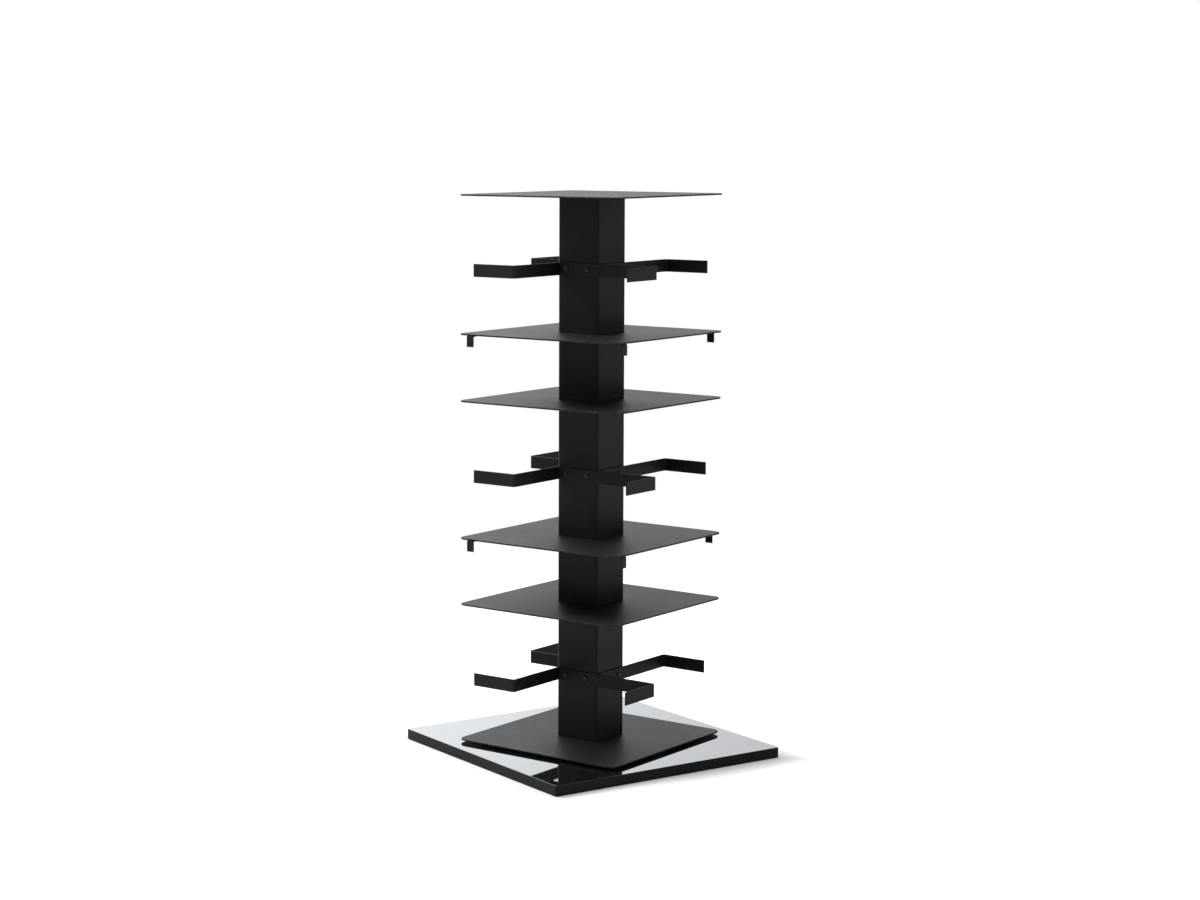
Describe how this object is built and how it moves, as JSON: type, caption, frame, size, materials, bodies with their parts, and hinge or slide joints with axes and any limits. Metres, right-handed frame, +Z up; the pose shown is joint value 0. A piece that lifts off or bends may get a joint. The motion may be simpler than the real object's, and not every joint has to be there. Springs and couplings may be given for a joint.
{
  "type": "revolving bookcase",
  "caption": "Revolving open-sided bookcase: thin square shelves on a central column, with bent flat-bar book ends, turning on a square glossy slab with a roller turntable.",
  "frame": {"origin": "on the floor, on the turning axis, at the centre of the slab", "axes": "+Z up along the turning axis; X and Y square to the sides of the tower, -Y its front face and +X its right face; the slab is turned 19 degrees clockwise, seen from above, against the tower in the stored pose"},
  "size_m": [0.6714, 0.6714, 1.1],
  "materials": {
    "slab_lacquer": "high-gloss black lacquer on a fibreboard slab",
    "tower_paint": "fine-grained satin black powder coat",
    "bar_paint": "fine-grained matt black powder coat",
    "bearing_steel": "turned and ground, lightly oiled",
    "screw_steel": "black zinc plated",
    "cage_plastic": "natural moulded plastic",
    "bush_plastic": "natural turned plastic",
    "pad_rubber": "matt black rubber"
  },
  "bodies": {
    "base": {"base_slab": "slab_lacquer", "foot_pad_back_right": "pad_rubber", "foot_pad_back_left": "pad_rubber", "foot_pad_front_left": "pad_rubber", "foot_pad_front_right": "pad_rubber", "track_disc": "bearing_steel", "track_screws": "screw_steel", "pivot_post": "bearing_steel", "pivot_washer": "bearing_steel", "pivot_nut": "bearing_steel"},
    "roller_ring": {"roller_cage": "cage_plastic", "rollers": "bearing_steel"},
    "tower": {"swivel_plate": "bearing_steel", "pivot_bush": "bush_plastic", "mast": "tower_paint", "mast_cap": "tower_paint", "column_sleeve_1": "tower_paint", "column_sleeve_2": "tower_paint", "column_sleeve_3": "tower_paint", "column_sleeve_4": "tower_paint", "column_sleeve_5": "tower_paint", "shelf_bottom": "tower_paint", "shelf_second": "tower_paint", "shelf_third": "tower_paint", "shelf_fourth": "tower_paint", "shelf_fifth": "tower_paint", "shelf_top": "tower_paint", "shelf_top_screws": "screw_steel", "book_end_low_front": "bar_paint", "book_end_low_right": "bar_paint", "book_end_low_back": "bar_paint", "book_end_low_left": "bar_paint", "book_end_middle_front": "bar_paint", "book_end_middle_right": "bar_paint", "book_end_middle_back": "bar_paint", "book_end_middle_left": "bar_paint", "book_end_high_front": "bar_paint", "book_end_high_right": "bar_paint", "book_end_high_back": "bar_paint", "book_end_high_left": "bar_paint", "disc_stop_low_front": "bar_paint", "disc_stop_low_right": "bar_paint", "disc_stop_low_back": "bar_paint", "disc_stop_low_left": "bar_paint", "disc_stop_high_front": "bar_paint", "disc_stop_high_right": "bar_paint", "disc_stop_high_back": "bar_paint", "disc_stop_high_left": "bar_paint"}
  },
  "joints": [
    {"name": "tower_spin", "type": "hinge", "parent": "base", "child": "tower", "pos_m": [0, 0, 0.025], "axis": [0, 0, 1], "continuous": true},
    {"name": "cage_spin", "type": "hinge", "parent": "base", "child": "roller_ring", "pos_m": [0, 0, 0.016], "axis": [0, 0, 1], "continuous": true}
  ],
  "couplings": [
    {"joint": "cage_spin", "follows": "tower_spin", "ratio": 0.5}
  ]
}
